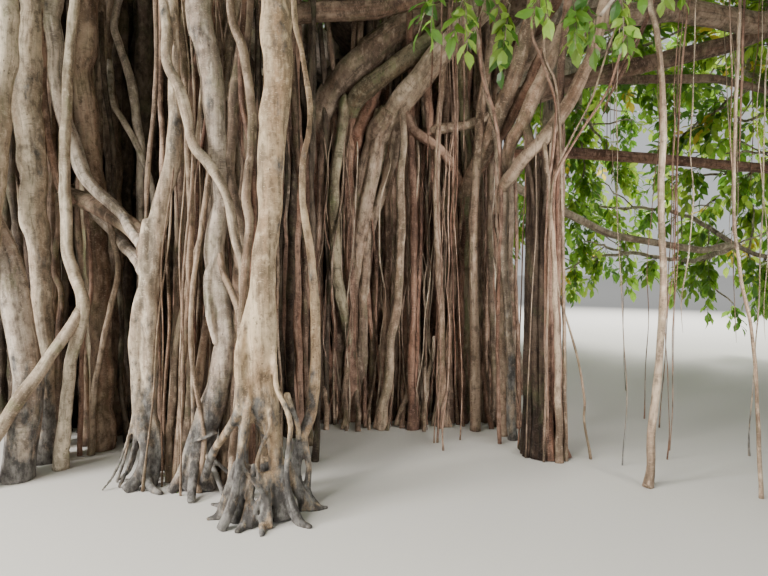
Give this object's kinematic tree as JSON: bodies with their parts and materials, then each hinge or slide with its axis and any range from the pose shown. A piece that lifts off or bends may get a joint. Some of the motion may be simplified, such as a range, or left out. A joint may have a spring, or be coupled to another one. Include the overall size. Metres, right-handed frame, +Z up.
{
  "type": "banyan tree",
  "caption": "Rooted banyan tree: fused fluted trunk, free standing root stems, spreading boughs and a broad dome of leaf masses.",
  "frame": {"origin": "middle of the flat cut under the main trunk, at ground level", "axes": "+Z up the trunk, +X to the right of someone who looks at the front stems, +Y away from them"},
  "size_m": [17.4693, 16.2672, 11.1939],
  "materials": {
    "trunk_bark": "rough red-brown bark",
    "bough_bark": "smooth grey-tan bark",
    "root_bark": "smooth tan root bark",
    "foliage": "waxy green leaves"
  },
  "bodies": {
    "root": {"bough_back": "bough_bark", "bough_back_left": "bough_bark", "bough_back_right": "bough_bark", "bough_cross_left": "bough_bark", "bough_diagonal_high": "bough_bark", "bough_diagonal_low": "bough_bark", "bough_diagonal_mid": "bough_bark", "bough_drooping_right": "bough_bark", "bough_front": "bough_bark", "bough_front_left": "bough_bark", "bough_front_right": "bough_bark", "bough_left": "bough_bark", "bough_level_right": "bough_bark", "bough_low_right": "bough_bark", "bough_low_right_forked": "bough_bark", "bough_low_right_slim": "bough_bark", "bough_right": "bough_bark", "bough_top": "bough_bark", "mass_outer_back": "foliage", "mass_outer_back_left": "foliage", "mass_outer_back_right": "foliage", "mass_outer_front": "foliage", "mass_outer_front_left": "foliage", "mass_outer_front_right": "foliage", "mass_outer_left": "foliage", "mass_outer_right": "foliage", "mass_top": "foliage", "mass_upper_back_left": "foliage", "mass_upper_back_right": "foliage", "mass_upper_front_left": "foliage", "mass_upper_front_right": "foliage", "mass_weeping_back": "foliage", "mass_weeping_front": "foliage", "mass_weeping_right": "foliage", "stem_back": "root_bark", "stem_back_left": "root_bark", "stem_back_right": "root_bark", "stem_front": "root_bark", "stem_front_slim": "root_bark", "stem_left_broad": "root_bark", "stem_left_edge": "root_bark", "stem_left_gap": "root_bark", "stem_left_grey": "root_bark", "stem_left_leaning": "root_bark", "stem_left_pale": "root_bark", "stem_middle_back": "root_bark", "stem_middle_front": "root_bark", "stem_middle_pale": "root_bark", "stem_middle_slim": "root_bark", "stem_right_column": "root_bark", "stem_right_hanging": "root_bark", "stem_side_left": "root_bark", "stem_side_right": "root_bark", "stem_strut_grey": "root_bark", "stem_strut_pale": "root_bark", "stem_strut_red": "root_bark", "stem_tan": "root_bark", "stem_wavy": "root_bark", "trunk": "trunk_bark", "trunk_left": "trunk_bark"}
  },
  "joints": []
}
